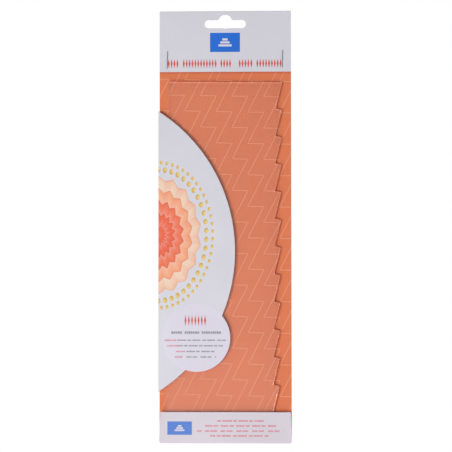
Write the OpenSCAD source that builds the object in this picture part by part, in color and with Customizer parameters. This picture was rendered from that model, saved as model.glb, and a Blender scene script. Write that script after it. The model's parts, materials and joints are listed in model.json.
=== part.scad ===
// Icing smoother blade with a pleated edge, held in its folded hanging card.
// Millimetres, +Z up, +X to the right, the front faces -Y.
// The origin is the centre of the hang slot's round top, on the card's back face.

/* [Blade] */
// Length of the acrylic blade
blade_len = 254; // [200:1:320]
// Width of the blade from its plain edge to the tips of the pleats
blade_w = 80; // [60:1:110]
// Thickness of the acrylic sheet
blade_t = 3; // [2:0.1:5]
// Number of pleats along the working edge
pleats = 13; // [9:1:18]
// Depth of each pleat, from tip to notch
pleat_depth = 4.4; // [2:0.1:6]
// Lean of the blade in its pocket, top to the right, in degrees
blade_lean = 0.56; // [0:0.02:1]

/* [Card] */
// Thickness of the card
card_t = 0.5; // [0.3:0.05:0.8]
// Clearance between the blade and the card on each side
fit_gap = 0.3; // [0.1:0.05:0.6]
// Bare card between the left edge and the middle of the blade's plain edge
left_margin = 5.8; // [4:0.1:12]
// Bare card between the pleat tips at mid length and the right edge
right_margin = 7.7; // [4:0.1:12]
// Bare card between the header and the blade
header_gap = 7.2; // [3:0.1:15]
// Gap that lets a crease open, measured along the wall
crease_gap = 0.12; // [0.05:0.01:0.2]

/* [Header] */
// Height of the header that is folded forward over the top
header_h = 43.4; // [34:0.2:60]
// Card left above the hang slot
slot_margin = 2.65; // [2:0.05:5]
// Width of the hang slot
slot_w = 29.4; // [22:0.2:36]
// Height of the slot's two wings
slot_h = 5.9; // [4.5:0.1:8]
// Radius of the slot's round top
slot_bump_r = 4.95; // [3.5:0.05:6]
// Rise of the round top above the wings
slot_rise = 3.7; // [2.5:0.1:4.2]
// Fillet where the round top meets the wings
slot_fillet_r = 1.5; // [0.5:0.1:3]

/* [Side flap] */
// Reach of the curved flap from its fold
flap_reach = 54.2; // [35:0.2:75]
// Bare card between the header and the upper end of the flap
flap_top_gap = 28.4; // [10:0.2:60]
// Bare card between the lower end of the flap and the foot flap
flap_foot_gap = 14.3; // [5:0.1:40]
// Radius of the round lobe at the foot of the flap
lobe_r = 23.8; // [15:0.2:30]
// Distance of the lobe's centre from the fold
lobe_x = 27; // [18:0.2:40]
// Height of the lobe's centre above the lower end of the flap
lobe_up = 37.8; // [25:0.2:60]
// How far the side fold stands out past the card's cut edge
side_proud = 0.6; // [0.55:0.05:1.2]

/* [Foot flap] */
// Height of the flap that is folded up in front of the blade
foot_h = 21.8; // [12:0.2:35]
// Draw-in of the foot flap at each end of its free edge
foot_taper = 0.7; // [0:0.1:2]
// Radius of the card's corners at the foot fold
foot_corner_r = 1.5; // [0.5:0.1:4]

/* [Staples] */
// Outer length of a staple's crown
staple_crown = 12.7; // [11:0.1:15]
// Length of the clinched legs behind the card
staple_clinch = 4.8; // [3:0.1:5.4]
// Width of the flat staple wire
wire_w = 0.6; // [0.4:0.05:0.9]
// Thickness of the flat staple wire
wire_t = 0.45; // [0.3:0.05:0.6]
// Inner radius of the wire's bends
wire_bend_r = 0.2; // [0.1:0.05:0.25]
// Clearance of a pierced hole round the staple wire
pierce_gap = 0.05; // [0.02:0.01:0.1]
// Left staple's distance from the card's left edge
left_staple_inset = 5.3; // [3:0.1:10]
// Right staple's distance from the card's right edge
right_staple_inset = 6.3; // [3:0.1:10]
// Left staple's height above the header's lower edge
left_staple_foot = 2.1; // [1:0.1:5]
// Right staple's height above the header's lower edge
right_staple_foot = 2.8; // [1:0.1:5]
// Lean of both staples, top to the right, in degrees
staple_lean = 1.6; // [0:0.1:4]

/* [Hidden] */
$fn = 96;
// Cutters reach this far past the faces that they cut
past = 1;

// The card is as wide as the blade and its margins
card_w = left_margin + blade_w + right_margin;
// Height and width that the leaning blade takes up
blade_high = blade_len * cos(blade_lean) + blade_w * sin(blade_lean);
// The card holds the header, the leaning blade and the foot fold
card_h = header_h + header_gap + blade_high + fit_gap + card_t;
// Depth of the pocket over both layers of card
pocket_d = 2 * card_t + 2 * fit_gap + blade_t;

card_left = -card_w / 2;
card_right = card_w / 2;
card_top = slot_margin + slot_bump_r;
card_foot = card_top - card_h;
header_foot = card_top - header_h;
header_front = -2 * card_t;

// Folded edge of the side flap, from its lower to its upper end
side_fold = card_left - side_proud;
flap_low = card_foot + foot_h + flap_foot_gap;
flap_high = header_foot - flap_top_gap;
flap_span = flap_high - flap_low;
flap_mid = (flap_high + flap_low) / 2;
// One arc passes through both ends of the fold and the reach
flap_arc_r = (pow(flap_reach, 2) + pow(flap_span / 2, 2)) / (2 * flap_reach);

// The wings hang below the round top
wing_top = slot_bump_r - slot_rise;
wing_mid = wing_top - slot_h / 2;

// A pleat is a right-angled step turned by this angle
pleat_pitch = blade_len / pleats;
pleat_angle = asin(2 * pleat_depth / pleat_pitch) / 2;
// Run of the long edge along the blade, from tip to notch
pleat_run = pleat_depth / tan(pleat_angle);

blade_x = card_left + left_margin + blade_w / 2;
blade_z = card_foot + card_t + fit_gap + blade_high / 2;
blade_back = -(card_t + fit_gap);

wire_outer_r = wire_bend_r + wire_t;

// Stands a flat outline up in the XZ plane, its back at back_y and its front thick before it
module upright(back_y, thick) {
    translate([0, back_y, 0])
        rotate([90, 0, 0])
            linear_extrude(thick)
                children();
}

// Outline from x0 to x1 and from z0 to z1
module field(x0, x1, z0, z1) {
    translate([x0, z0])
        square([x1 - x0, z1 - z0]);
}

// Fillet between the slot's round top and its right wing
module slot_fillet() {
    fillet_z = wing_top + slot_fillet_r;
    fillet_x = sqrt(pow(slot_bump_r + slot_fillet_r, 2) - pow(fillet_z, 2));
    difference() {
        polygon([[0, wing_mid], [fillet_x, wing_mid], [fillet_x, fillet_z], [0, 0]]);
        translate([fillet_x, fillet_z])
            circle(slot_fillet_r);
    }
}

// Hang slot: two round-ended wings under a round top
module hang_slot() {
    wing_reach = (slot_w - slot_h) / 2;
    circle(slot_bump_r);
    field(-wing_reach, wing_reach, wing_mid - slot_h / 2, wing_top);
    for (side = [-1, 1]) {
        translate([side * wing_reach, wing_mid])
            circle(slot_h / 2);
        mirror([side < 0 ? 1 : 0, 0])
            slot_fillet();
    }
}

// Corner that is left when a square corner at the foot fold is rounded
module foot_corner_cut() {
    difference() {
        field(-past, foot_corner_r, -past, foot_corner_r);
        translate([foot_corner_r, foot_corner_r])
            circle(foot_corner_r);
        field(foot_corner_r, foot_corner_r + past, -past, foot_corner_r + past);
        field(-past, foot_corner_r + past, foot_corner_r, foot_corner_r + past);
    }
}

// Both rounded corners at the foot fold, as an outline to take away
module foot_corner_cuts() {
    translate([card_left, card_foot])
        foot_corner_cut();
    translate([card_right, card_foot])
        mirror([1, 0])
            foot_corner_cut();
}

// Puts a leaning staple's own centre line and crown foot in place
module at_staple(side) {
    inset = side < 0 ? left_staple_inset : right_staple_inset;
    foot = side < 0 ? left_staple_foot : right_staple_foot;
    translate([side * (card_w / 2 - inset), 0, header_foot + foot])
        rotate([0, staple_lean, 0])
            children();
}

// Slits that the staple legs pierce through both layers
module staple_slits() {
    slit_w = wire_w + 2 * pierce_gap;
    slit_h = wire_outer_r + 2 * pierce_gap;
    for (side = [-1, 1])
        at_staple(side)
            for (low = [-pierce_gap, staple_crown + pierce_gap - slit_h])
                translate([-slit_w / 2, header_front - past, low])
                    cube([slit_w, 2 * card_t + 2 * past, slit_h]);
}

// Wedge that mitres a panel at the side fold's outer corner, the pocket lying towards inward
module side_mitre(corner_y, inward) {
    deep = 2 * card_t;
    translate([side_fold, corner_y, flap_low - past])
        mirror([0, inward < 0 ? 1 : 0, 0])
            linear_extrude(flap_span + 2 * past)
                polygon([[-past, -past], [deep, deep], [-past, deep]]);
}

// Wedge that mitres a panel at the foot fold's outer corner, the pocket lying towards inward
module foot_mitre(corner_y, inward) {
    deep = 2 * card_t;
    translate([card_left - past, corner_y, card_foot])
        mirror([0, inward < 0 ? 1 : 0, 0])
            rotate([90, 0, 90])
                linear_extrude(card_w + 2 * past)
                    polygon([[-past, -past], [deep, deep], [deep, -past]]);
}

// Flat back of the card, with the hang slot and a tab that carries the side fold
module back_panel() {
    color([0.87, 0.46, 0.29])
        difference() {
            upright(0, card_t)
                difference() {
                    union() {
                        field(card_left, card_right, card_foot, card_top - card_t);
                        field(side_fold, card_left + past, flap_low, flap_high);
                    }
                    hang_slot();
                    foot_corner_cuts();
                }
            staple_slits();
            side_mitre(0, -1);
            foot_mitre(0, -1);
        }
}

// Half-round fold over the top of the card
module header_fold() {
    color([0.86, 0.86, 0.9])
        translate([card_left, -card_t, card_top - card_t])
            rotate([0, 90, 0])
                rotate([0, 0, 90])
                    linear_extrude(card_w)
                        intersection() {
                            circle(card_t);
                            field(-2 * card_t, 2 * card_t, 0, 2 * card_t);
                        }
}

// Header folded flat onto the front of the back panel
module header_panel() {
    color([0.84, 0.84, 0.88])
        difference() {
            upright(-card_t, card_t)
                difference() {
                    field(card_left, card_right, header_foot, card_top - card_t);
                    hang_slot();
                }
            staple_slits();
        }
}

// Quarter bend of the flat wire in the YZ plane, about its own centre
module wire_bend() {
    rotate([0, -90, 0])
        translate([0, 0, -wire_w / 2])
            rotate_extrude(angle = 90)
                translate([wire_bend_r, 0])
                    square([wire_t, wire_w]);
}

// Lower half of a staple: half the crown, the leg through the card and the clinch
module staple_half() {
    crown_y = header_front - wire_t;
    leg_len = 2 * card_t - 2 * wire_bend_r;
    translate([-wire_w / 2, crown_y, wire_outer_r])
        cube([wire_w, wire_t, staple_crown / 2 - wire_outer_r]);
    translate([0, header_front + wire_bend_r, wire_outer_r])
        rotate([180, 0, 0])
            wire_bend();
    translate([-wire_w / 2, header_front + wire_bend_r, 0])
        cube([wire_w, leg_len, wire_t]);
    translate([0, -wire_bend_r, wire_outer_r])
        rotate([-90, 0, 0])
            wire_bend();
    translate([-wire_w / 2, 0, wire_outer_r])
        cube([wire_w, wire_t, staple_clinch - wire_outer_r]);
}

// Staple with its crown in front and its legs clinched behind
module staple(side) {
    color([0.72, 0.73, 0.76])
        at_staple(side)
            union() {
                staple_half();
                translate([0, 0, staple_crown])
                    mirror([0, 0, 1])
                        staple_half();
            }
}

module left_staple() {
    staple(-1);
}

module right_staple() {
    staple(1);
}

// Narrow wall between the two side creases
module side_spine() {
    inner = side_fold + card_t;
    color([0.8, 0.8, 0.86])
        translate([0, 0, flap_low])
            linear_extrude(flap_span)
                polygon([
                    [side_fold, -crease_gap],
                    [inner, -card_t - crease_gap],
                    [inner, -pocket_d + card_t + crease_gap],
                    [side_fold, -pocket_d + crease_gap]
                ]);
}

// Outline of the side flap: a broad arc joined with a round lobe
module side_flap_outline() {
    intersection() {
        union() {
            translate([side_fold + flap_reach - flap_arc_r, flap_mid])
                circle(flap_arc_r, $fn = 360);
            translate([side_fold + lobe_x, flap_low + lobe_up])
                circle(lobe_r);
        }
        field(side_fold, card_right, flap_low, flap_high);
    }
}

// Curved flap folded over the blade from the left
module side_flap() {
    color([0.84, 0.84, 0.88])
        difference() {
            upright(-pocket_d + card_t, card_t)
                side_flap_outline();
            side_mitre(-pocket_d, 1);
        }
}

// Narrow wall that the blade stands on, between the two foot creases
module foot_spine() {
    inner = card_foot + card_t;
    color([0.8, 0.8, 0.86])
        translate([card_left + foot_corner_r, 0, 0])
            rotate([90, 0, 90])
                linear_extrude(card_w - 2 * foot_corner_r)
                    polygon([
                        [-crease_gap, card_foot],
                        [-card_t - crease_gap, inner],
                        [-pocket_d + card_t + crease_gap, inner],
                        [-pocket_d + crease_gap, card_foot]
                    ]);
}

// Flap folded up in front of the blade's foot
module foot_flap() {
    foot_top = card_foot + foot_h;
    color([0.84, 0.84, 0.88])
        difference() {
            upright(-pocket_d + card_t, card_t)
                difference() {
                    polygon([
                        [card_left, card_foot],
                        [card_right, card_foot],
                        [card_right - foot_taper, foot_top],
                        [card_left + foot_taper, foot_top]
                    ]);
                    foot_corner_cuts();
                }
            foot_mitre(-pocket_d, 1);
        }
}

// Outline of the blade about its own centre, the pleated edge on the right
function blade_outline() = concat(
    [[-blade_w / 2, -blade_len / 2], [-blade_w / 2, blade_len / 2]],
    [
        for (i = [0:pleats - 1])
            let (tip = blade_len / 2 - i * pleat_pitch)
                each [[blade_w / 2, tip], [blade_w / 2 - pleat_depth, tip - pleat_run]]
    ],
    [[blade_w / 2 - pleat_depth, -blade_len / 2]]
);

// Clear blade, standing in the foot fold and leaning a little
module blade() {
    color([0.93, 0.62, 0.5, 0.45])
        translate([blade_x, 0, blade_z])
            rotate([0, blade_lean, 0])
                upright(blade_back, blade_t)
                    polygon(blade_outline());
}

back_panel();
header_fold();
header_panel();
left_staple();
right_staple();
side_spine();
side_flap();
foot_spine();
foot_flap();
blade();
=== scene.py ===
"""Looks of a pleated icing smoother in its folded hanging card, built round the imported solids."""

import json
import logging
import math
from dataclasses import dataclass, field
from enum import Enum
from typing import Callable, Sequence

import bpy
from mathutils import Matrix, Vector

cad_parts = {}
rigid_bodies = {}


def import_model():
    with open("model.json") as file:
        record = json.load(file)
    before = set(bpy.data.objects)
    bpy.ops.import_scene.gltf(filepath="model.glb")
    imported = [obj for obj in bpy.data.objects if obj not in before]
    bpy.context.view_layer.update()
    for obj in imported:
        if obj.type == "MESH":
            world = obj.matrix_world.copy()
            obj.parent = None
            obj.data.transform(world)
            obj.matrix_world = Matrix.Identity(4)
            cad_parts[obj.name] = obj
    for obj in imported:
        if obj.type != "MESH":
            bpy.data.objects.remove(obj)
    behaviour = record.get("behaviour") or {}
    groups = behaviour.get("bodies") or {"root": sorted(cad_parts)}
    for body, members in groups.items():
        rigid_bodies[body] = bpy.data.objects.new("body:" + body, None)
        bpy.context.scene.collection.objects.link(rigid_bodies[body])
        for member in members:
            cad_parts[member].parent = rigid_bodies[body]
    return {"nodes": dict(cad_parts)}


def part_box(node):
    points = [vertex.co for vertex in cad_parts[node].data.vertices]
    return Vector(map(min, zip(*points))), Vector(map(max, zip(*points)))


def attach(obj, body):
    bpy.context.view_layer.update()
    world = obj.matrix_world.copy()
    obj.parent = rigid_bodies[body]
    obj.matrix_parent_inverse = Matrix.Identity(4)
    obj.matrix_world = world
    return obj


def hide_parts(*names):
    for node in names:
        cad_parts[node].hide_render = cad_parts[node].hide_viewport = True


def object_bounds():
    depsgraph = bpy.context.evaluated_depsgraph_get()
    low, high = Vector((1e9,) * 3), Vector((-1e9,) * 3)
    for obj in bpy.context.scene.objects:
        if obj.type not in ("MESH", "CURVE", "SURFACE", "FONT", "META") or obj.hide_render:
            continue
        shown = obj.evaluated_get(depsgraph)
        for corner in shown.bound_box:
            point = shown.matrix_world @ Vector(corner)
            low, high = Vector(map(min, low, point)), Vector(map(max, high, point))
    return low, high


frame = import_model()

CAD_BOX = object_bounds()

logging.basicConfig(level=logging.INFO, format="%(name)s: %(message)s")
log = logging.getLogger("smoother")

MM = 0.001
# Points of a copied solid that lie this close are joined
WELD = 0.001 * MM
# Faces that meet at less than this are one flat face
FLAT_ANGLE = math.radians(0.5)
# Edges that turn by more than this are rounded
SHARP_ANGLE = math.radians(35)
# Least part of a face's normal along an axis for the face to look that way
FACING = 0.9

Colour = tuple[float, float, float]
Point = tuple[float, float, float]
Tree = bpy.types.NodeTree
Socket = bpy.types.NodeSocket
Material = bpy.types.Material
Piece = bpy.types.Object


def srgb(*values: int) -> Colour:
    """Turns red, green and blue of 0 to 255, as a screen shows them, into Blender's linear colour."""
    shares = [value / 255 for value in values]
    return tuple(s / 12.92 if s <= 0.04045 else ((s + 0.055) / 1.055) ** 2.4 for s in shares)


class Signal:
    """A number that varies over a surface, carried by a shader socket."""

    def __init__(self, tree: Tree, socket: Socket) -> None:
        """Wraps one output socket of a node tree."""
        self.tree = tree
        self.socket = socket

    def math(self, operation: str, *others: "Signal | float", clamp: bool = False) -> "Signal":
        """Joins this signal with others in a Math node.

        Args:
            operation: The Math node's operation.
            others: The further inputs, each a signal or a number.
            clamp: Whether the result is held between 0 and 1.

        Returns:
            The node's result.
        """
        node = self.tree.nodes.new("ShaderNodeMath")
        node.operation = operation
        node.use_clamp = clamp
        for index, value in enumerate((self, *others)):
            if isinstance(value, Signal):
                self.tree.links.new(value.socket, node.inputs[index])
            else:
                node.inputs[index].default_value = value
        return Signal(self.tree, node.outputs[0])

    def __add__(self, other: "Signal | float") -> "Signal":
        """Sum of two signals."""
        return self.math("ADD", other)

    def __sub__(self, other: "Signal | float") -> "Signal":
        """Difference of two signals."""
        return self.math("SUBTRACT", other)

    def __mul__(self, other: "Signal | float") -> "Signal":
        """Product of two signals."""
        return self.math("MULTIPLY", other)

    def __truediv__(self, other: "Signal | float") -> "Signal":
        """Quotient of two signals."""
        return self.math("DIVIDE", other)

    def __neg__(self) -> "Signal":
        """The signal with its sign turned."""
        return self.math("MULTIPLY", -1.0)

    def abs(self) -> "Signal":
        """The signal without its sign."""
        return self.math("ABSOLUTE")

    def floor(self) -> "Signal":
        """The next whole number below."""
        return self.math("FLOOR")

    def fract(self) -> "Signal":
        """The part after the whole number."""
        return self.math("FRACT")

    def max(self, other: "Signal | float") -> "Signal":
        """The larger of two signals."""
        return self.math("MAXIMUM", other)

    def min(self, other: "Signal | float") -> "Signal":
        """The smaller of two signals."""
        return self.math("MINIMUM", other)

    def hypot(self, other: "Signal") -> "Signal":
        """Length of the vector that two signals make."""
        return (self * self + other * other).math("SQRT")

    def inside(self, soft: "Signal | float") -> "Signal":
        """Turns a distance from an outline into ink, 1 inside it and 0 outside.

        Args:
            soft: Width over which the ink's edge fades.

        Returns:
            The ink's share at each place.
        """
        return (-self / soft).math("ADD", 0.5, clamp=True)


class Group:
    """A shader node group with named inputs and outputs, built once and placed where needed."""

    def __init__(
        self,
        name: str,
        inputs: dict[str, float | None],
        outputs: Sequence[str],
        draw: Callable[..., Sequence[Signal]],
    ) -> None:
        """Makes the group.

        Args:
            name: The group's name.
            inputs: Each input's name and its first value, or nothing for a vector.
            outputs: The outputs' names.
            draw: Builds the inside from the input signals and returns the output signals.
        """
        self.tree = bpy.data.node_groups.new(name, "ShaderNodeTree")
        for label, value in inputs.items():
            kind = "NodeSocketVector" if value is None else "NodeSocketFloat"
            socket = self.tree.interface.new_socket(label, in_out="INPUT", socket_type=kind)
            if value is not None:
                socket.default_value = value
        for label in outputs:
            self.tree.interface.new_socket(label, in_out="OUTPUT", socket_type="NodeSocketFloat")
        source = self.tree.nodes.new("NodeGroupInput")
        target = self.tree.nodes.new("NodeGroupOutput")
        signals = [Signal(self.tree, source.outputs[label]) for label in inputs]
        for label, signal in zip(outputs, draw(*signals)):
            self.tree.links.new(signal.socket, target.inputs[label])

    def place(self, tree: Tree, **values: "Signal | float") -> dict[str, Signal]:
        """Places the group in a material.

        Args:
            tree: The material's node tree.
            values: Values for the inputs, with underscores for spaces in their names.

        Returns:
            The group's outputs by name.
        """
        node = tree.nodes.new("ShaderNodeGroup")
        node.node_tree = self.tree
        for label, value in values.items():
            socket = node.inputs[label.replace("_", " ")]
            if isinstance(value, Signal):
                tree.links.new(value.socket, socket)
            else:
                socket.default_value = value
        return {output.name: Signal(tree, output) for output in node.outputs}


def noise(place: Signal, scale: float, detail: float) -> Signal:
    """Adds a noise texture.

    Args:
        place: The place that it reads.
        scale: Its cells in a metre.
        detail: Its number of finer layers.

    Returns:
        The noise, about 0.5 on average.
    """
    node = place.tree.nodes.new("ShaderNodeTexNoise")
    node.inputs["Scale"].default_value = scale
    node.inputs["Detail"].default_value = detail
    place.tree.links.new(place.socket, node.inputs["Vector"])
    return Signal(place.tree, node.outputs["Fac"])


class Shape(Enum):
    """The shapes that can be printed."""

    BLOCK = "Printed block"
    ZIGZAG = "Zigzag lines"
    DASHES = "Row of dashes"
    LOZENGES = "Row of lozenges"
    ROSETTE = "Pleated rosette"
    BEADS = "Ring of beads"


@dataclass
class PrintShop:
    """The printed shapes, each one a node group that reads a place. Sizes are millimetres.

    Attributes:
        bleed: Width over which the ink of beads and lozenges fades at its edge.
        line_bleed: The same for a zigzag line, as a share of its width.
        word_bleed: The same for the outline of a dash.
        tick_bleed: The same for the ticks in a dash.
        word_half: Half of a dash's length, as a share of the dashes' pitch.
        sway: How much the dashes differ in length, as a share of their pitch.
        sway_turn: How far that difference turns from dash to dash, in radians.
        seed_turn: How far a seed of 1 turns it, in radians.
        seed_step: How far a seed of 1 shifts dashes and ticks, as a share of their pitch.
        tick_pitch: Pitch of the ticks, as a share of a row's height.
        tick_half: Half of a tick's width, as a share of the ticks' pitch.
        tick_ink: Share of the ink that is missing between the ticks.
        tick_step: Step of the ticks' heights by the golden section, so that they don't repeat soon.
        tick_least: Height of the lowest tick, as a share of the row's height.
        tick_spread: How much higher the highest tick is, by the same measure.
        pleat_depth: Depth of the rosette's pleats, as a share of its reach.
        rosette_bleed: Width over which the rosette's ink fades, by the same measure.
        shine_shift: How far a bead's bright spot lies off its middle, as a share of its radius.
        shine_reach: How far the bright spot reaches, by the same measure.
        shine_gain: How strongly it brightens towards its middle.
    """

    bleed: float = 0.15
    line_bleed: float = 0.6
    word_bleed: float = 0.25
    tick_bleed: float = 0.2
    word_half: float = 0.4
    sway: float = 0.22
    sway_turn: float = 3.1
    seed_turn: float = 1.9
    seed_step: float = 0.37
    tick_pitch: float = 0.85
    tick_half: float = 0.3
    tick_ink: float = 0.45
    tick_step: float = 0.618
    tick_least: float = 0.75
    tick_spread: float = 0.35
    pleat_depth: float = 0.16
    rosette_bleed: float = 0.01
    shine_shift: float = 0.3
    shine_reach: float = 1.2
    shine_gain: float = 0.8

    def __post_init__(self) -> None:
        """Builds every group once, each with the place and the shape's middle and size as first inputs."""
        area = {"X": 0.0, "Z": 0.0, "Centre X": 0.0, "Centre Z": 0.0, "Width": 10.0, "Height": 10.0}
        mask = ("Mask",)
        rows = (
            (Shape.BLOCK, {"Corner": 0.0, "Soft": 0.1}, mask, self._block),
            (Shape.ZIGZAG, {"Tilt": 0.0, "Line": 0.5}, mask, self._zigzag),
            (Shape.DASHES, {"Word": 6.0, "Seed": 0.0}, mask, self._dashes),
            (Shape.LOZENGES, {"Pitch": 2.0, "Share": 0.7}, mask, self._lozenges),
            (Shape.ROSETTE, {"Rings": 5.0, "Pleats": 18.0}, ("Mask", "Ring", "Depth", "Side"), self._rosette),
            (Shape.BEADS, {"Count": 40.0, "Radius": 1.2}, ("Mask", "Shine"), self._beads),
        )
        self.groups = {
            shape: Group(shape.value, {**area, **more}, outputs, draw) for shape, more, outputs, draw in rows
        }

    def _block(
        self, x: Signal, z: Signal, cx: Signal, cz: Signal, w: Signal, h: Signal, r: Signal, soft: Signal
    ) -> Sequence[Signal]:
        """Rectangle with round corners, or a disc where the corners take up all of it.

        Args:
            x, z, cx, cz, w, h: The place, and the rectangle's middle and size.
            r: Radius of its corners.
            soft: Width over which its ink fades.

        Returns:
            Its ink.
        """
        across = (x - cx).abs() - w * 0.5 + r
        along = (z - cz).abs() - h * 0.5 + r
        outside = across.max(0.0).hypot(along.max(0.0))
        distance = outside + across.max(along).min(0.0) - r
        return (distance.inside(soft),)

    def _zigzag(
        self, x: Signal, z: Signal, cx: Signal, cz: Signal, w: Signal, h: Signal, tilt: Signal, line: Signal
    ) -> Sequence[Signal]:
        """Columns of steps and diagonals, every other column half a step lower.

        Args:
            x, z, cx, cz, w, h: The place, the start of one column and step, and the size of each.
            tilt: How much the steps rise to the right.
            line: Width of the lines.

        Returns:
            Their ink.
        """
        column = (x - cx) / w
        across = column.fract()
        half = (column.floor() * 0.5).fract()
        down = ((cz + tilt * x - z) / h + half).fract()
        step = down.min(-down + 1.0) * h
        slope = (down + across - 1.0).abs() * (w * h) / w.hypot(h)
        return ((step.min(slope) - line * 0.5).inside(line * self.line_bleed),)

    def _dashes(
        self, x: Signal, z: Signal, cx: Signal, cz: Signal, w: Signal, h: Signal, word: Signal, seed: Signal
    ) -> Sequence[Signal]:
        """Row of short and long dashes made of plain ticks.

        Args:
            x, z, cx, cz, w, h: The place, and the row's middle and size.
            word: Pitch of its dashes.
            seed: Number that sets how its dashes differ.

        Returns:
            Its ink.
        """
        run = (x - cx) / word
        sway = (run * self.sway_turn + seed * self.seed_turn).math("SINE") * self.sway
        into = (run + sway + seed * self.seed_step).fract()
        gap = (into - 0.5).abs() * word - word * self.word_half
        pitch = h * self.tick_pitch
        ticks = x / pitch
        uneven = (ticks.floor() * self.tick_step + seed * self.seed_step).fract()
        tall = h * (uneven * self.tick_spread + self.tick_least)
        bar = ((z - cz).abs() - tall * 0.5).max((x - cx).abs() - w * 0.5)
        tick = ((ticks.fract() - 0.5).abs() - self.tick_half) * pitch
        ticked = tick.inside(self.tick_bleed) * self.tick_ink + (1 - self.tick_ink)
        return (bar.max(gap).inside(self.word_bleed) * ticked,)

    def _lozenges(
        self, x: Signal, z: Signal, cx: Signal, cz: Signal, w: Signal, h: Signal, p: Signal, share: Signal
    ) -> Sequence[Signal]:
        """Row of slim upright lozenges.

        Args:
            x, z, cx, cz, w, h: The place, and the row's middle and size.
            p: Pitch of the lozenges.
            share: Width of one, as a share of the pitch.

        Returns:
            Its ink.
        """
        across = (((x - cx + w * 0.5) / p).fract() - 0.5).abs() * 2.0
        along = (z - cz).abs() * 2.0 / h
        shape = (across / share + along - 1.0) * p * share * 0.5
        return (shape.max((x - cx).abs() - w * 0.5).inside(self.bleed),)

    def _rosette(
        self, x: Signal, z: Signal, cx: Signal, cz: Signal, w: Signal, h: Signal, rings: Signal, n: Signal
    ) -> Sequence[Signal]:
        """Rosette of pleated rings, one behind the other.

        Args:
            x, z, cx, cz, w, h: The place, and the rosette's middle and size.
            rings: Number of its rings.
            n: Number of pleats all round.

        Returns:
            Its ink, the ring of each place, the depth into the ring and the pleat's side.
        """
        u = (x - cx) / (w * 0.5)
        v = (z - cz) / (h * 0.5)
        turn = v.math("ARCTAN2", u) / (2 * math.pi)
        pleat = (turn * n).fract() - 0.5
        reach = u.hypot(v) + pleat.abs() * self.pleat_depth
        level = reach * rings
        side = pleat.math("GREATER_THAN", 0.0)
        return (reach - 1.0).inside(self.rosette_bleed), level.floor() / rings, level.fract(), side

    def _beads(
        self, x: Signal, z: Signal, cx: Signal, cz: Signal, w: Signal, h: Signal, n: Signal, r: Signal
    ) -> Sequence[Signal]:
        """Beads set side by side on an oval.

        Args:
            x, z, cx, cz, w, h: The place, and the oval's middle and size.
            n: Number of beads all round.
            r: Radius of a bead.

        Returns:
            Their ink and their shine.
        """
        u = (x - cx) / (w * 0.5)
        v = (z - cz) / (h * 0.5)
        middle = (w + h) * 0.25
        turn = v.math("ARCTAN2", u) / (2 * math.pi) * n
        along = (turn.fract() - 0.5) / n * (2 * math.pi) * middle
        off = (u.hypot(v) - 1.0) * middle
        distance = along.hypot(off) - r
        shine = (along + r * self.shine_shift).hypot(off - r * self.shine_shift) / r
        bright = (-shine + self.shine_reach).math("MULTIPLY", self.shine_gain, clamp=True)
        return distance.inside(self.bleed), bright


@dataclass
class SurfaceShop:
    """The surface effects that several finishes share.

    Attributes:
        fibre_scale: Fibres in a metre of card.
        fibre_detail: Layers of finer fibres.
        fibre_shade: How much the fibres change the print's lightness.
        cloud_scale: Slow uneven patches in a metre of card.
        cloud_detail: Layers of smaller patches.
        cloud_shade: How much the patches change the print's lightness.
    """

    fibre_scale: float = 9000.0
    fibre_detail: float = 2.0
    fibre_shade: float = 0.04
    cloud_scale: float = 28.0
    cloud_detail: float = 3.0
    cloud_shade: float = 0.12

    def __post_init__(self) -> None:
        """Builds every group once."""
        first = {"Place": None, "Strength": 1.0}
        self.grain = Group("Paper grain", first, ("Height", "Shade"), self._grain)

    def _grain(self, place: Signal, strength: Signal) -> Sequence[Signal]:
        """Fine fibres and slow unevenness of coated card.

        Args:
            place: The place on the card.
            strength: Strength of the grain.

        Returns:
            Height of the fibres, and the factor by which the print is lighter or darker.
        """
        fibre = noise(place, self.fibre_scale, self.fibre_detail)
        cloud = noise(place, self.cloud_scale, self.cloud_detail)
        patches = (cloud - 0.5) * strength * self.cloud_shade
        return fibre * strength, patches + (fibre - 0.5) * strength * self.fibre_shade + 1.0


@dataclass(frozen=True)
class Area:
    """Middle and size of a printed shape, in millimetres."""

    x: float
    z: float
    width: float
    height: float

    def inputs(self) -> dict[str, float]:
        """Its values by the names of the print shop's inputs."""
        return {"Centre_X": self.x, "Centre_Z": self.z, "Width": self.width, "Height": self.height}


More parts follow.
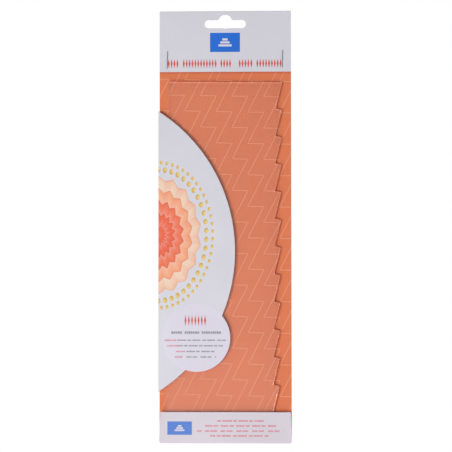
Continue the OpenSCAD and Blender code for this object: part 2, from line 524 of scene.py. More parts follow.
class Ink:
    """Builds up a printed colour, one ink over the other, inside one material."""

    def __init__(self, tree: Tree, base: Colour, prints: PrintShop | None = None) -> None:
        """Starts from the bare ground.

        Args:
            tree: Node tree of the material that is printed.
            base: Colour of the board or of the flat ground print.
            prints: The shapes that may be printed.
        """
        self.tree = tree
        self.prints = prints
        self.place = Signal(tree, tree.nodes.new("ShaderNodeTexCoord").outputs["Object"])
        split = tree.nodes.new("ShaderNodeSeparateXYZ")
        tree.links.new(self.place.socket, split.inputs[0])
        self.x = Signal(tree, split.outputs["X"]) / MM
        self.z = Signal(tree, split.outputs["Z"]) / MM
        ground = tree.nodes.new("ShaderNodeRGB")
        ground.outputs[0].default_value = (*base, 1.0)
        self.colour = ground.outputs[0]

    def over(self, colour: Colour | Socket, mask: Signal) -> None:
        """Prints one ink over what is there.

        Args:
            colour: The ink, as a colour or a colour socket.
            mask: Where it is printed.
        """
        mix = self.tree.nodes.new("ShaderNodeMix")
        mix.data_type = "RGBA"
        self.tree.links.new(mask.socket, mix.inputs[0])
        self.tree.links.new(self.colour, mix.inputs[6])
        if isinstance(colour, Socket):
            self.tree.links.new(colour, mix.inputs[7])
        else:
            mix.inputs[7].default_value = (*colour, 1.0)
        self.colour = mix.outputs[2]

    def shape(self, shape: Shape, area: Area, **values: float) -> dict[str, Signal]:
        """Places one printed shape and gives its outputs by name."""
        group = self.prints.groups[shape]
        return group.place(self.tree, X=self.x, Z=self.z, **area.inputs(), **values)

    def stamp(self, shape: Shape, colour: Colour, area: Area, **values: float) -> None:
        """Prints one shape in one ink."""
        self.over(colour, self.shape(shape, area, **values)["Mask"])

    def shade(self, amount: Signal) -> None:
        """Makes the whole print lighter or darker.

        Args:
            amount: The factor at each place.
        """
        node = self.tree.nodes.new("ShaderNodeVectorMath")
        node.operation = "SCALE"
        self.tree.links.new(self.colour, node.inputs[0])
        self.tree.links.new(amount.socket, node.inputs["Scale"])
        self.colour = node.outputs[0]

    def ramp(self, value: Signal, stops: Sequence[tuple[float, Colour]]) -> Socket:
        """Gives a colour that runs through some stops as a value rises.

        Args:
            value: The value.
            stops: Each stop's value and colour.

        Returns:
            The colour's socket.
        """
        node = self.tree.nodes.new("ShaderNodeValToRGB")
        bar = node.color_ramp
        while len(bar.elements) < len(stops):
            bar.elements.new(0.5)
        for element, (at, colour) in zip(bar.elements, stops):
            element.position = at
            element.color = (*colour, 1.0)
        self.tree.links.new(value.socket, node.inputs[0])
        return node.outputs[0]


def new_material(name: str) -> tuple[Material, bpy.types.Node]:
    """Makes a material with one Principled shader.

    Args:
        name: The material's name.

    Returns:
        The material and its shader node.
    """
    material = bpy.data.materials.new(name)
    material.use_nodes = True
    return material, material.node_tree.nodes["Principled BSDF"]


@dataclass(frozen=True)
class CardFinish:
    """Coated card, printed or bare.

    Attributes:
        name: Name of the finish.
        base: Colour of its ground.
        rough: Roughness of its coat.
        shine: Strength of the coat's reflection, 0.5 for plain varnish.
        gloss: Weight of the varnish over it.
        gloss_rough: Roughness of that varnish.
        grain: Strength of the paper's grain.
        relief: How much of the grain's height shows as relief.
        relief_height: Full height of the relief, in metres.
        artwork: Prints on it, or nothing for bare board.
    """

    name: str
    base: Colour
    rough: float = 0.5
    shine: float = 0.5
    gloss: float = 0.0
    gloss_rough: float = 0.22
    grain: float = 1.0
    relief: float = 0.25
    relief_height: float = 0.02 * MM
    artwork: Callable[[Ink], None] | None = None

    def material(self, prints: PrintShop, surfaces: SurfaceShop) -> Material:
        """Makes the finish's material.

        Args:
            prints: The shapes that its print may use.
            surfaces: The surface effects.

        Returns:
            The material.
        """
        material, shader = new_material(self.name)
        tree = material.node_tree
        ink = Ink(tree, self.base, prints)
        if self.artwork:
            self.artwork(ink)
        grain = surfaces.grain.place(tree, Place=ink.place, Strength=self.grain)
        ink.shade(grain["Shade"])
        tree.links.new(ink.colour, shader.inputs["Base Color"])
        bump = tree.nodes.new("ShaderNodeBump")
        bump.inputs["Strength"].default_value = self.relief
        bump.inputs["Distance"].default_value = self.relief_height
        tree.links.new(grain["Height"].socket, bump.inputs["Height"])
        tree.links.new(bump.outputs["Normal"], shader.inputs["Normal"])
        shader.inputs["Roughness"].default_value = self.rough
        shader.inputs["Specular IOR Level"].default_value = self.shine
        shader.inputs["Coat Weight"].default_value = self.gloss
        shader.inputs["Coat Roughness"].default_value = self.gloss_rough
        return material


@dataclass(frozen=True)
class AcrylicFinish:
    """Clear acrylic sheet.

    Attributes:
        name: Name of the finish.
        tint: Colour of light that passes it.
        rough: Roughness of its surface.
        shade: Colour of the light that it lets into its own shadow.
        clear: Share of it that is clear and not frosted.
        bend: How strongly it bends light.
    """

    name: str
    tint: Colour
    rough: float
    shade: Colour
    clear: float = 1.0
    bend: float = 1.49

    def material(self) -> Material:
        """Makes the finish's material, which lets lamp light and soft light pass straight through.

        Returns:
            The material.
        """
        material, shader = new_material(self.name)
        tree = material.node_tree
        shader.inputs["Base Color"].default_value = (*self.tint, 1.0)
        shader.inputs["Roughness"].default_value = self.rough
        shader.inputs["IOR"].default_value = self.bend
        shader.inputs["Transmission Weight"].default_value = self.clear
        clear = tree.nodes.new("ShaderNodeBsdfTransparent")
        clear.inputs["Color"].default_value = (*self.shade, 1.0)
        path = tree.nodes.new("ShaderNodeLightPath")
        surface = shader.outputs[0]
        for ray in ("Is Diffuse Ray", "Is Shadow Ray"):
            mix = tree.nodes.new("ShaderNodeMixShader")
            tree.links.new(path.outputs[ray], mix.inputs[0])
            tree.links.new(surface, mix.inputs[1])
            tree.links.new(clear.outputs[0], mix.inputs[2])
            surface = mix.outputs[0]
        tree.links.new(surface, tree.nodes["Material Output"].inputs["Surface"])
        return material


@dataclass(frozen=True)
class WireFinish:
    """Plated steel staple wire.

    Attributes:
        name: Name of the finish.
        base: Colour of the plating.
        rough: Roughness of the drawn wire.
        marks: Draw marks in a metre across the wire.
        mark_detail: Layers of finer marks.
        mark_stretch: Marks along the wire for each one across it, below 1 for long marks.
        mark_shade: How much the marks change the plating's lightness.
        mark_rough: How much they change its roughness.
    """

    name: str
    base: Colour
    rough: float
    marks: float = 14000.0
    mark_detail: float = 2.0
    mark_stretch: float = 0.04
    mark_shade: float = 0.3
    mark_rough: float = 0.2

    def material(self) -> Material:
        """Makes the finish's material, with fine draw marks along the wire.

        Returns:
            The material.
        """
        material, shader = new_material(self.name)
        tree = material.node_tree
        ink = Ink(tree, self.base)
        squeeze = tree.nodes.new("ShaderNodeMapping")
        squeeze.inputs["Scale"].default_value = (1.0, 1.0, self.mark_stretch)
        tree.links.new(ink.place.socket, squeeze.inputs["Vector"])
        marks = noise(Signal(tree, squeeze.outputs["Vector"]), self.marks, self.mark_detail)
        ink.shade(marks * self.mark_shade + (1 - self.mark_shade / 2))
        tree.links.new(ink.colour, shader.inputs["Base Color"])
        rough = marks * self.mark_rough + self.rough - self.mark_rough / 2
        tree.links.new(rough.socket, shader.inputs["Roughness"])
        shader.inputs["Metallic"].default_value = 1.0
        return material


def only(piece: Piece) -> None:
    """Selects one piece alone and makes it the active one.

    Args:
        piece: The piece.
    """
    bpy.ops.object.select_all(action="DESELECT")
    piece.select_set(True)
    bpy.context.view_layer.objects.active = piece


def copy_of(node: str, name: str) -> Piece:
    """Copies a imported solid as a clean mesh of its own.

    Args:
        node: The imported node.
        name: The new piece's name.

    Returns:
        The piece, its faces joined and made flat again.
    """
    only(frame["nodes"][node])
    bpy.ops.object.duplicate(linked=False)
    piece = bpy.context.object
    piece.name = name
    piece.data.name = name
    bpy.ops.object.parent_clear(type="CLEAR_KEEP_TRANSFORM")
    bpy.ops.object.transform_apply(location=True, rotation=True, scale=True)
    bpy.ops.object.mode_set(mode="EDIT")
    bpy.ops.mesh.select_all(action="SELECT")
    bpy.ops.mesh.remove_doubles(threshold=WELD)
    bpy.ops.mesh.dissolve_limited(angle_limit=FLAT_ANGLE)
    bpy.ops.object.mode_set(mode="OBJECT")
    return piece


def round_edges(piece: Piece, width: float, segments: int = 2) -> None:
    """Rounds a piece's sharp edges for good.

    Args:
        piece: The piece.
        width: Width of the rounding, in metres.
        segments: Steps of the rounding.
    """
    only(piece)
    bevel = piece.modifiers.new("Soft edges", "BEVEL")
    bevel.width = width
    bevel.segments = segments
    bevel.limit_method = "ANGLE"
    bevel.angle_limit = SHARP_ANGLE
    bevel.use_clamp_overlap = True
    bpy.ops.object.shade_smooth()
    bpy.ops.object.modifier_apply(modifier=bevel.name)


def keep_flat(piece: Piece) -> None:
    """Makes the large faces of a rounded piece shade as flat as they are.

    Args:
        piece: The piece.
    """
    only(piece)
    flat = piece.modifiers.new("Flat faces", "WEIGHTED_NORMAL")
    flat.mode = "FACE_AREA"
    flat.weight = 100
    bpy.ops.object.modifier_apply(modifier=flat.name)


def soften(piece: Piece, width: float) -> None:
    """Rounds a piece's edges and keeps its faces flat."""
    round_edges(piece, width)
    keep_flat(piece)


def dress(piece: Piece, materials: Sequence[Material], slot_of: Callable[[Vector], int]) -> None:
    """Gives each face of a piece its material by where it looks.

    Args:
        piece: The piece.
        materials: The materials, in slot order.
        slot_of: Picks a slot from a face's normal.
    """
    piece.data.materials.clear()
    for material in materials:
        piece.data.materials.append(material)
    for face in piece.data.polygons:
        face.material_index = slot_of(face.normal)


# Inks, as they look in the photograph's light
ORANGE = srgb(226, 126, 86)
LINES = srgb(234, 161, 128)
# Colour of the painted shadow under the header's edge, not an ink of the card
SHADE = srgb(168, 62, 44)
PALE = srgb(213, 212, 221)
LOBE = srgb(218, 213, 226)
ROSY = srgb(213, 205, 214)
ROSE = srgb(212, 124, 132)
BLUE = srgb(0, 103, 210)
SOFT_BLUE = srgb(82, 125, 206)
SALMON = srgb(206, 90, 82)
PINK = srgb(222, 150, 168)
GREY = srgb(140, 141, 153)
CREAM = srgb(238, 212, 188)
PEACH = srgb(244, 172, 132)
CORAL = srgb(236, 98, 60)
BRICK = srgb(206, 74, 44)
GOLD = srgb(206, 164, 62)
HONEY = srgb(240, 214, 130)
BOARD = srgb(236, 234, 232)


@dataclass
class Artwork:
    """The card's prints, and a painted shadow under the header. Places and sizes are real millimetres in the
    object's frame.

    Attributes:
        zigzag: The zigzag lines: left edge of one column, height of one step, and the size of each.
        zigzag_tilt: How much the steps rise to the right.
        zigzag_line: Width of the lines.
        header_edge: Height of the header's lower edge.
        header_shade: How far under that edge its painted shadow fades.
        header_shade_ink: Strength of the painted shadow at the edge.
        tiers: Widths of a patch's tiers from the lowest up, as shares of their height together.
        tier_fill: Height of a tier, as a share of the step to the next.
        tier_corner: Radius of a tier's corners, by the same measure.
        header_patch: The header's patch.
        header_tiers: Height of the tiers on it.
        border_z: Height of the header's border of lozenges.
        border_height: Height of a lozenge in it.
        border_pitch: Step from lozenge to lozenge.
        border_share: Width of a lozenge, as a share of the pitch.
        border_runs: Middle and number of lozenges of each run of the border.
        lobe: The pale disc in the flap's lobe.
        lobe_soft: Width over which its edge fades.
        lobe_border: The row of lozenges in it.
        lobe_pitch: Step from lozenge to lozenge.
        lobe_share: Width of a lozenge, as a share of the pitch.
        heading_z: Height of the large dashes under that row.
        heading_height: Height of such a dash.
        heading_pitch: Its pitch, as a share of its length, so that it stays whole.
        heading_runs: Middle and length of each.
        lobe_rows: Middle, height and length of each row of small dashes in the lobe.
        lobe_row_height: How high such a row is.
        lobe_word: Pitch of its dashes.
        lead_share: Share of the row that is pink.
        lead_height: How high that part is.
        foot_patch: The foot flap's patch.
        foot_tiers: Height of the tiers on it.
        foot_rows: Middle, height and length of each row of dashes on the foot flap.
        foot_row_height: How high such a row is.
        foot_word: Pitch of its dashes.
        foot_seed: Seed of the first of these rows.
        rosette: The rosette, its middle on the flap's fold.
        rosette_inks: Colours of its rings from the middle out, and where each starts.
        beads: Width and height of each oval of beads round it, and the beads' number and radius.
        hollow_fall: How fast the shade at the outer side of a ring fades.
        hollow_ink: Strength of that shade.
        side_ink: How much darker one side of each pleat is.
        crest_fall: How fast the light at the inner side of a ring fades.
        crest_ink: Strength of that light.
    """

    zigzag: Area = Area(-28.95, -41.95, 11.25, 22.33)
    zigzag_tilt: float = -0.0215
    zigzag_line: float = 0.42
    header_edge: float = -35.8
    header_shade: float = 0.8
    header_shade_ink: float = 0.75
    tiers: tuple[float, ...] = (1.5, 1.05, 0.6)
    tier_fill: float = 0.72
    tier_corner: float = 0.2
    header_patch: Area = Area(-0.17, -14.8, 21.3, 13.7)
    header_tiers: float = 6.4
    border_z: float = -29.9
    border_height: float = 6.8
    border_pitch: float = 2.06
    border_share: float = 0.74
    border_runs: tuple[tuple[float, int], ...] = ((-37.2, 4), (-18.2, 12), (0.3, 4), (14.4, 5), (31.1, 9))
    lobe: Area = Area(-20.4, -224.7, 48.4, 48.4)
    lobe_soft: float = 0.5
    lobe_border: Area = Area(-21.2, -212.3, 16.1, 7.9)
    lobe_pitch: float = 2.3
    lobe_share: float = 0.62
    heading_z: float = -220.8
    heading_height: float = 1.8
    heading_pitch: float = 4.0
    heading_runs: tuple[tuple[float, float], ...] = ((-34.3, 8.1), (-23.5, 10.6), (-9.9, 13.9))
    lobe_rows: tuple[tuple[float, float, float], ...] = (
        (-21.3, -226.2, 43.4),
        (-21.4, -230.1, 39.5),
        (-21.1, -234.1, 27.5),
        (-21.1, -238.0, 28.9),
    )
    lobe_row_height: float = 1.05
    lobe_word: float = 5.2
    lead_share: float = 0.22
    lead_height: float = 1.1
    foot_patch: Area = Area(-32.3, -288.0, 17.3, 9.4)
    foot_tiers: float = 4.6
    foot_rows: tuple[tuple[float, float, float], ...] = (
        (10.2, -282.9, 33.8),
        (10.2, -286.4, 50.7),
        (10.6, -290.0, 61.2),
        (9.9, -293.4, 41.5),
    )
    foot_row_height: float = 1.2
    foot_word: float = 5.6
    foot_seed: int = 11
    rosette: Area = Area(-47.3, -152.0, 61.0, 84.0)
    rosette_inks: tuple[tuple[float, Colour], ...] = (
        (0.0, CORAL),
        (0.35, CORAL),
        (0.6, PEACH),
        (0.85, CREAM),
    )
    beads: tuple[tuple[float, float, float, float], ...] = (
        (68.0, 93.0, 46.0, 1.7),
        (77.0, 103.0, 60.0, 1.2),
    )
    hollow_fall: float = 5.0
    hollow_ink: float = 0.35
    side_ink: float = 0.14
    crest_fall: float = 3.0
    crest_ink: float = 0.25

    def patch(self, ink: Ink, colour: Colour, area: Area, tall: float) -> None:
        """Plain patch with three tiers on it.

        Args:
            ink: The print so far.
            colour: The patch's ink.
            area: Its middle and size.
            tall: Height of its tiers together.
        """
        ink.stamp(Shape.BLOCK, colour, area)
        step = tall / len(self.tiers)
        middle = len(self.tiers) // 2
        for tier, wide in enumerate(self.tiers):
            bar = Area(area.x, area.z + (tier - middle) * step, wide * tall, step * self.tier_fill)
            ink.stamp(Shape.BLOCK, PALE, bar, Corner=step * self.tier_corner)

    def back(self, ink: Ink) -> None:
        """Zigzag lines over the orange ground, and a painted shadow right under the header.

        Args:
            ink: The print so far.
        """
        ink.stamp(Shape.ZIGZAG, LINES, self.zigzag, Tilt=self.zigzag_tilt, Line=self.zigzag_line)
        # Painted shadow: the back print darkens just under the header's edge
        under = ((ink.z - self.header_edge) / self.header_shade).math("EXPONENT").min(1.0)
        ink.over(SHADE, under * self.header_shade_ink)

    def header(self, ink: Ink) -> None:
        """Patch over a border of lozenges.

        Args:
            ink: The print so far.
        """
        self.patch(ink, BLUE, self.header_patch, self.header_tiers)
        for x, count in self.border_runs:
            run = Area(x, self.border_z, count * self.border_pitch, self.border_height)
            ink.stamp(Shape.LOZENGES, SALMON, run, Pitch=self.border_pitch, Share=self.border_share)

    def flap(self, ink: Ink) -> None:
        """Half rosette at the fold, and dashes under lozenges in the lobe.

        Args:
            ink: The print so far.
        """
        ink.stamp(Shape.BLOCK, LOBE, self.lobe, Corner=self.lobe.width / 2, Soft=self.lobe_soft)
        self.half_rosette(ink)
        ink.stamp(Shape.LOZENGES, SALMON, self.lobe_border, Pitch=self.lobe_pitch, Share=self.lobe_share)
        for x, length in self.heading_runs:
            dash = Area(x, self.heading_z, length, self.heading_height)
            ink.stamp(Shape.DASHES, GREY, dash, Word=self.heading_pitch * length, Seed=1)
        for seed, (x, z, length) in enumerate(self.lobe_rows, start=1):
            lead = length * self.lead_share
            row = Area(x, z, length, self.lobe_row_height)
            start = Area(x - (length - lead) / 2, z, lead, self.lead_height)
            ink.stamp(Shape.DASHES, GREY, row, Word=self.lobe_word, Seed=seed)
            ink.stamp(Shape.DASHES, PINK, start, Word=self.lobe_word, Seed=seed)

    def half_rosette(self, ink: Ink) -> None:
        """Half rosette of pleated rings in warm colours, in ovals of beads.

        Args:
            ink: The print so far.
        """
        for width, height, count, radius in self.beads:
            oval = Area(self.rosette.x, self.rosette.z, width, height)
            drawn = ink.shape(Shape.BEADS, oval, Count=count, Radius=radius)
            ink.over(ink.ramp(drawn["Shine"], [(0.0, GOLD), (1.0, HONEY)]), drawn["Mask"])
        drawn = ink.shape(Shape.ROSETTE, self.rosette)
        inside, depth = drawn["Mask"], drawn["Depth"]
        ink.over(ink.ramp(drawn["Ring"], self.rosette_inks), inside)
        ink.over(BRICK, depth.math("POWER", self.hollow_fall) * inside * self.hollow_ink)
        ink.over(CORAL, drawn["Side"] * inside * self.side_ink)
        ink.over(BOARD, (-depth + 1.0).math("POWER", self.crest_fall) * inside * self.crest_ink)

    def foot(self, ink: Ink) -> None:
        """Patch beside rows of dashes.

        Args:
            ink: The print so far.
        """
        self.patch(ink, SOFT_BLUE, self.foot_patch, self.foot_tiers)
        for seed, (x, z, length) in enumerate(self.foot_rows, start=self.foot_seed):
            row = Area(x, z, length, self.foot_row_height)
            ink.stamp(Shape.DASHES, ROSE, row, Word=self.foot_word, Seed=seed)


class CardSide(Enum):
    """The sides of a card panel, numbered as its material slots."""

    FRONT = 0
    BACK = 1
    CUT = 2

    @classmethod
    def slot_of(cls, normal: Vector) -> int:
        """Tells which side a face belongs to.

        Args:
            normal: The face's normal.

        Returns:
            The side's slot.
        """
        if normal.y < -FACING:
            return cls.FRONT.value
        return cls.BACK.value if normal.y > FACING else cls.CUT.value


@dataclass
class FoldedCard:
    """The die-cut card: back, header, side flap and foot flap with their walls.

    Attributes:
        edge: Width of the rounding on the card's cut edges, in metres.
        rough: Roughness of its coat.
        gloss: Weight of the varnish on its pale side.
        artwork: The card's prints.
    """

    edge: float = 0.08 * MM
    rough: float = 0.6
    gloss: float = 0.03
    artwork: Artwork = field(default_factory=Artwork)

    def finishes(self) -> dict[str, CardFinish]:
        """Lists the card's finishes.

        Returns:
            The finishes by the names that the panels use.
        """
        art = self.artwork
        pale = {"rough": self.rough, "gloss": self.gloss}
        return {
            "back": CardFinish("Orange zigzag print", ORANGE, self.rough, shine=0.12, artwork=art.back),
            "header": CardFinish("Header print", PALE, artwork=art.header, **pale),
            "flap": CardFinish("Flap print", PALE, artwork=art.flap, **pale),
            "foot": CardFinish("Foot print", ROSY, artwork=art.foot, **pale),
            "pale": CardFinish("Pale coated card", PALE, **pale),
            "board": CardFinish("White board", BOARD, rough=0.8, grain=1.6),
        }

    def build(self, prints: PrintShop, surfaces: SurfaceShop) -> list[Piece]:
        """Makes and dresses every panel and wall of the card.

        Args:
            prints: The printed shapes.
            surfaces: The surface effects.

        Returns:
            The pieces.
        """
        made = {key: finish.material(prints, surfaces) for key, finish in self.finishes().items()}
        # Each panel's node, body and material slot, and the finishes of its front, back and cut edges
        panels = (
            ("back_panel", "carrier", "printed_back", ("back", "pale", "board")),
            ("header_panel", "carrier", "pale_card", ("header", "board", "board")),
            ("header_fold", "carrier", "pale_card", ("pale", "pale", "pale")),
            ("side_spine", "side_wall", "pale_card", ("pale", "board", "pale")),
            ("side_flap", "curved_flap", "pale_card", ("flap", "board", "board")),
            ("foot_spine", "foot_wall", "pale_card", ("pale", "board", "pale")),
            ("foot_flap", "low_flap", "pale_card", ("foot", "board", "board")),
        )
        pieces = []
        for node, body, slot, keys in panels:
            piece = copy_of(node, f"{node}_card")
            soften(piece, self.edge)
            dress(piece, [made[key] for key in keys], CardSide.slot_of)
            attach(piece, body)
            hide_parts(node)
            pieces.append(piece)
        return pieces


@dataclass
class Staples:
    """The two clinched staples of the header.

    Attributes:
        edge: Width of the rounding on the flat wire, in metres.
        finish: The wire's finish.
    """

    edge: float = 0.1 * MM
    finish: WireFinish = WireFinish("Plated staple wire", srgb(176, 178, 186), rough=0.34)

    def build(self) -> list[Piece]:
        """Makes and dresses both staples.

        Returns:
            The pieces.
        """
        material = self.finish.material()
        pieces = []
        for node in ("left_staple", "right_staple"):
            piece = copy_of(node, f"{node}_wire")
            soften(piece, self.edge)
            dress(piece, [material], lambda normal: 0)
            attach(piece, "carrier")
            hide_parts(node)
            pieces.append(piece)
        return pieces


class BladePart(Enum):
    """The parts of the blade's surface, numbered as its material slots."""

    FACE = 0
    LIT_EDGE = 1
    SHADED_EDGE = 2
    LIT_RIM = 3
    SHADED_RIM = 4


@dataclass
class Blade:
    """The clear acrylic blade.

    Attributes:
        edge: Width of the polished rounding along its cut edges, in metres.
        edge_steps: Steps of that rounding.
        rim: Width of the strip along the back face whose shadow tint paints the light that the cut edges
            bend, in metres.
        towards_light: Way to the key light, seen from the front, which parts lit from shaded edges.
        left_share: Share of the blade's width in which its back strip counts as the left one.
        square: Least part of a normal along the depth for a face to be the back face.
        face_tint: Colour of the light that passes the faces.
        cut_tint: Colour of the light that passes the cut edges.
        cut_clear: Share of the cut edges that is clear and not frosted.
    """

    edge: float = 0.35 * MM
    edge_steps: int = 3
    rim: float = 0.6 * MM
    towards_light: Point = (-0.93, 0.0, -0.36)
    left_share: float = 0.1
    square: float = 0.999
    face_tint: Colour = (0.965, 0.93, 0.92)
    cut_tint: Colour = (0.97, 0.95, 0.95)
    cut_clear: float = 0.85

    def finishes(self) -> dict[BladePart, AcrylicFinish]:
        """Lists the finishes of the blade's parts.

        Returns:
            The finishes, in slot order.
        """
        face, cut, clear = self.face_tint, self.cut_tint, self.cut_clear
        lit, shaded = (0.95, 0.93, 0.93), (0.3, 0.12, 0.14)
        # Painted light: the rims' shadow tints put a brighter strip on the card behind the shaded edges and
        # painted shade behind the lit ones
        lit_rim, shaded_rim = (0.8, 0.72, 0.78), (1.25, 1.25, 1.25)
        return {
            BladePart.FACE: AcrylicFinish("Clear acrylic face", face, 0.0, (0.985, 0.975, 0.97)),
            BladePart.LIT_EDGE: AcrylicFinish("Clear acrylic lit edge", cut, 0.12, lit, clear),
            BladePart.SHADED_EDGE: AcrylicFinish("Clear acrylic shaded edge", cut, 0.08, shaded, clear),
            BladePart.LIT_RIM: AcrylicFinish("Clear acrylic rim by the lit edge", face, 0.0, lit_rim),
            BladePart.SHADED_RIM: AcrylicFinish(
                "Clear acrylic rim by the shaded edge", face, 0.0, shaded_rim
            ),
        }

    def slot_of(self, normal: Vector) -> int:
        """Tells the faces, the cut edges that the light enters and those that it leaves apart.

        Args:
            normal: The face's normal.

        Returns:
            The face's slot.
        """
        if abs(normal.y) > FACING:
            return BladePart.FACE.value
        lit = normal.dot(Vector(self.towards_light)) > 0
        return BladePart.LIT_EDGE.value if lit else BladePart.SHADED_EDGE.value

    def add_rim(self, piece: Piece) -> None:
        """Marks off the strip along the back face whose shadow tint paints the light that the cut edges bend.

        Args:
            piece: The blade, with its materials.
        """
        only(piece)
        for face in piece.data.polygons:
            face.select = face.normal.y > self.square and face.area > self.rim**2
        bpy.ops.object.mode_set(mode="EDIT")
        bpy.ops.mesh.inset(thickness=self.rim, use_even_offset=True, use_select_inset=True)
        bpy.ops.object.mode_set(mode="OBJECT")
        low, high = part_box("blade")
        left = low[0] + self.left_share * (high[0] - low[0])
        foot = low[2] + 2 * self.rim
        for face in piece.data.polygons:
            if face.select:
                lit = face.center.x < left or face.center.z < foot
                face.material_index = (BladePart.LIT_RIM if lit else BladePart.SHADED_RIM).value

    def build(self) -> Piece:
        """Makes and dresses the blade.

        Returns:
            The piece.
        """
        piece = copy_of("blade", "blade_sheet")
        round_edges(piece, self.edge, self.edge_steps)
        dress(piece, [finish.material() for finish in self.finishes().values()], self.slot_of)
        self.add_rim(piece)
        keep_flat(piece)
        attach(piece, "smoother")
        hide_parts("blade")
        return piece


@dataclass(frozen=True)
class Lamp:
    """A square soft light that faces the middle of the card. Its place and side are metres."""

    name: str
    place: Point
    size: float
    power: float
    tint: Colour = (0.985, 1.0, 0.995)


@dataclass(frozen=True)
class Glow:
    """A brighter part of the room: the way to its middle, how tightly it keeps there and its strength."""

    name: str
    towards: Point
    narrow: float
    strength: float


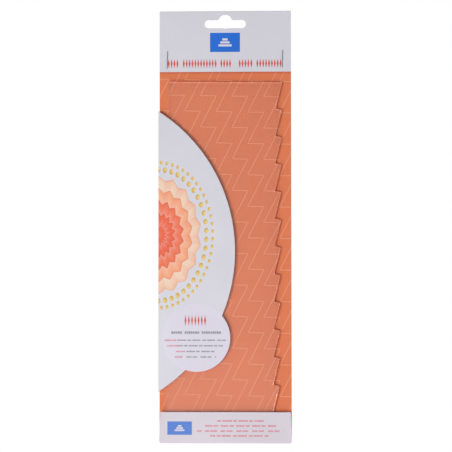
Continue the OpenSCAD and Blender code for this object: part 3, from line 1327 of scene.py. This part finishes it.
@dataclass
class Studio:
    """Camera, floor and lights.

    Attributes:
        distance: From the aim to the camera, in metres.
        azimuth: Camera's turn to the right of straight ahead, in degrees.
        elevation: Camera's height over the aim, in degrees.
        roll: Camera's turn about its own axis, in degrees.
        aim: The point it looks at.
        lens: Focal length, in millimetres.
        sensor: Width of the sensor, in millimetres.
        floor_drop: How far the floor lies under the card.
        floor_clear: Radius to which the floor is solid.
        floor_end: Radius at which it has faded out.
        floor_steps: Corners of the floor's round outline.
        floor_colour: Its colour.
        floor_rough: Its roughness.
        lamps: The soft lights.
        fill: Strength of the room's even light.
        fill_tint: Colour of the room's light.
        glows: The room's brighter parts. The last one sparkles in the blade's cut edges.
    """

    distance: float = 1.0
    azimuth: float = 1.675
    elevation: float = -1.53
    roll: float = -0.054
    aim: Point = (0.0004, 0.0, -0.1455)
    lens: float = 112.2
    sensor: float = 36.0
    floor_drop: float = 0.6
    floor_clear: float = 0.7
    floor_end: float = 2.6
    floor_steps: int = 96
    floor_colour: Colour = (0.9, 0.9, 0.91)
    floor_rough: float = 0.9
    lamps: tuple[Lamp, ...] = (
        Lamp("Key light", (-0.8, -1.65, -0.5), size=0.6, power=17.4),
        Lamp("Low light", (0.0, -1.1, -0.8), size=0.5, power=2.2),
    )
    fill: float = 0.07
    fill_tint: Colour = (1.0, 0.97, 0.985)
    glows: tuple[Glow, ...] = (
        Glow("Front, low on the left", (-0.15, -0.95, -0.3), narrow=40.0, strength=2.3),
        Glow("Behind", (0.0, 1.0, 0.1), narrow=1.0, strength=0.7),
        Glow("High on the right", (0.7, 0.1, 0.7), narrow=8.0, strength=1.2),
        Glow("Above", (0.1, -0.2, 1.0), narrow=2.0, strength=0.5),
        Glow("Low on the right", (0.95, 0.02, -0.3), narrow=60.0, strength=7.0),
    )

    def camera(self) -> None:
        """Places the camera at the photograph's viewing angle."""
        turn, lift = math.radians(self.azimuth), math.radians(self.elevation)
        away = Vector((math.sin(turn) * math.cos(lift), -math.cos(turn) * math.cos(lift), math.sin(lift)))
        data = bpy.data.cameras.new("Camera")
        data.lens = self.lens
        data.sensor_width = self.sensor
        camera = bpy.data.objects.new("Camera", data)
        bpy.context.scene.collection.objects.link(camera)
        camera.location = Vector(self.aim) + away * self.distance
        camera.rotation_euler = (-away).to_track_quat("-Z", "Y").to_euler()
        camera.rotation_euler.rotate_axis("Z", math.radians(self.roll))
        bpy.context.scene.camera = camera

    def floor(self) -> None:
        """Lays a pale round floor under the hanging card, which fades out at its rim."""
        bpy.ops.object.select_all(action="DESELECT")
        low = CAD_BOX[0][2] - self.floor_drop
        bpy.ops.mesh.primitive_circle_add(
            vertices=self.floor_steps, radius=self.floor_end, fill_type="NGON", location=(0, 0, low)
        )
        plane = bpy.context.object
        plane.name = "studio_floor"
        material, shader = new_material("Pale floor")
        tree = material.node_tree
        shader.inputs["Base Color"].default_value = (*self.floor_colour, 1.0)
        shader.inputs["Roughness"].default_value = self.floor_rough
        place = tree.nodes.new("ShaderNodeTexCoord")
        reach = tree.nodes.new("ShaderNodeVectorMath")
        reach.operation = "LENGTH"
        tree.links.new(place.outputs["Object"], reach.inputs[0])
        solid = tree.nodes.new("ShaderNodeMapRange")
        solid.interpolation_type = "SMOOTHERSTEP"
        solid.inputs["From Min"].default_value = self.floor_end
        solid.inputs["From Max"].default_value = self.floor_clear
        tree.links.new(reach.outputs["Value"], solid.inputs["Value"])
        tree.links.new(solid.outputs["Result"], shader.inputs["Alpha"])
        plane.data.materials.append(material)

    def light(self, lamp: Lamp) -> None:
        """Sets up one of the soft lights.

        Args:
            lamp: The light.
        """
        data = bpy.data.lights.new(lamp.name, "AREA")
        data.size = lamp.size
        data.energy = lamp.power
        data.color = lamp.tint
        light = bpy.data.objects.new(lamp.name, data)
        bpy.context.scene.collection.objects.link(light)
        light.location = lamp.place
        ahead = Vector(self.aim) - Vector(lamp.place)
        light.rotation_euler = ahead.to_track_quat("-Z", "Y").to_euler()

    @staticmethod
    def brighten(tree: Tree, glow: Glow) -> Signal:
        """Makes one part of the room brighter, fading smoothly round its middle.

        Args:
            tree: The world's node tree.
            glow: The brighter part.

        Returns:
            The added strength in each direction.
        """
        place = tree.nodes.new("ShaderNodeTexCoord")
        dot = tree.nodes.new("ShaderNodeVectorMath")
        dot.label = glow.name
        dot.operation = "DOT_PRODUCT"
        tree.links.new(place.outputs["Generated"], dot.inputs[0])
        dot.inputs[1].default_value = Vector(glow.towards).normalized()
        facing = Signal(tree, dot.outputs["Value"]).max(0.0)
        return facing.math("POWER", glow.narrow) * glow.strength

    def room(self) -> None:
        """Fills the room with soft light, seen as pure white behind the object and through the blade."""
        world = bpy.data.worlds.new("White room")
        world.use_nodes = True
        tree = world.node_tree
        fill = tree.nodes["Background"]
        fill.inputs["Color"].default_value = (*self.fill_tint, 1.0)
        parts = [self.brighten(tree, glow) for glow in self.glows]
        strength = sum(parts[1:], parts[0]) + self.fill
        tree.links.new(strength.socket, fill.inputs["Strength"])
        seen = tree.nodes.new("ShaderNodeBackground")
        seen.inputs["Color"].default_value = (1.0, 1.0, 1.0, 1.0)
        path = tree.nodes.new("ShaderNodeLightPath")
        straight = Signal(tree, path.outputs["Is Camera Ray"])
        straight = straight.max(Signal(tree, path.outputs["Is Transmission Ray"]))
        mix = tree.nodes.new("ShaderNodeMixShader")
        tree.links.new(straight.socket, mix.inputs[0])
        tree.links.new(fill.outputs[0], mix.inputs[1])
        tree.links.new(seen.outputs[0], mix.inputs[2])
        tree.links.new(mix.outputs[0], tree.nodes["World Output"].inputs["Surface"])
        bpy.context.scene.world = world

    def build(self) -> None:
        """Sets up the whole studio."""
        self.camera()
        self.floor()
        for lamp in self.lamps:
            self.light(lamp)
        self.room()
        bpy.context.scene.view_settings.view_transform = "Standard"


def main() -> None:
    """Builds the studio and every piece in order, and reports each piece."""
    Studio().build()
    prints = PrintShop()
    surfaces = SurfaceShop()
    for piece in (*FoldedCard().build(prints, surfaces), *Staples().build(), Blade().build()):
        log.info("%s: %d faces", piece.name, len(piece.data.polygons))


if __name__ == "__main__":
    main()
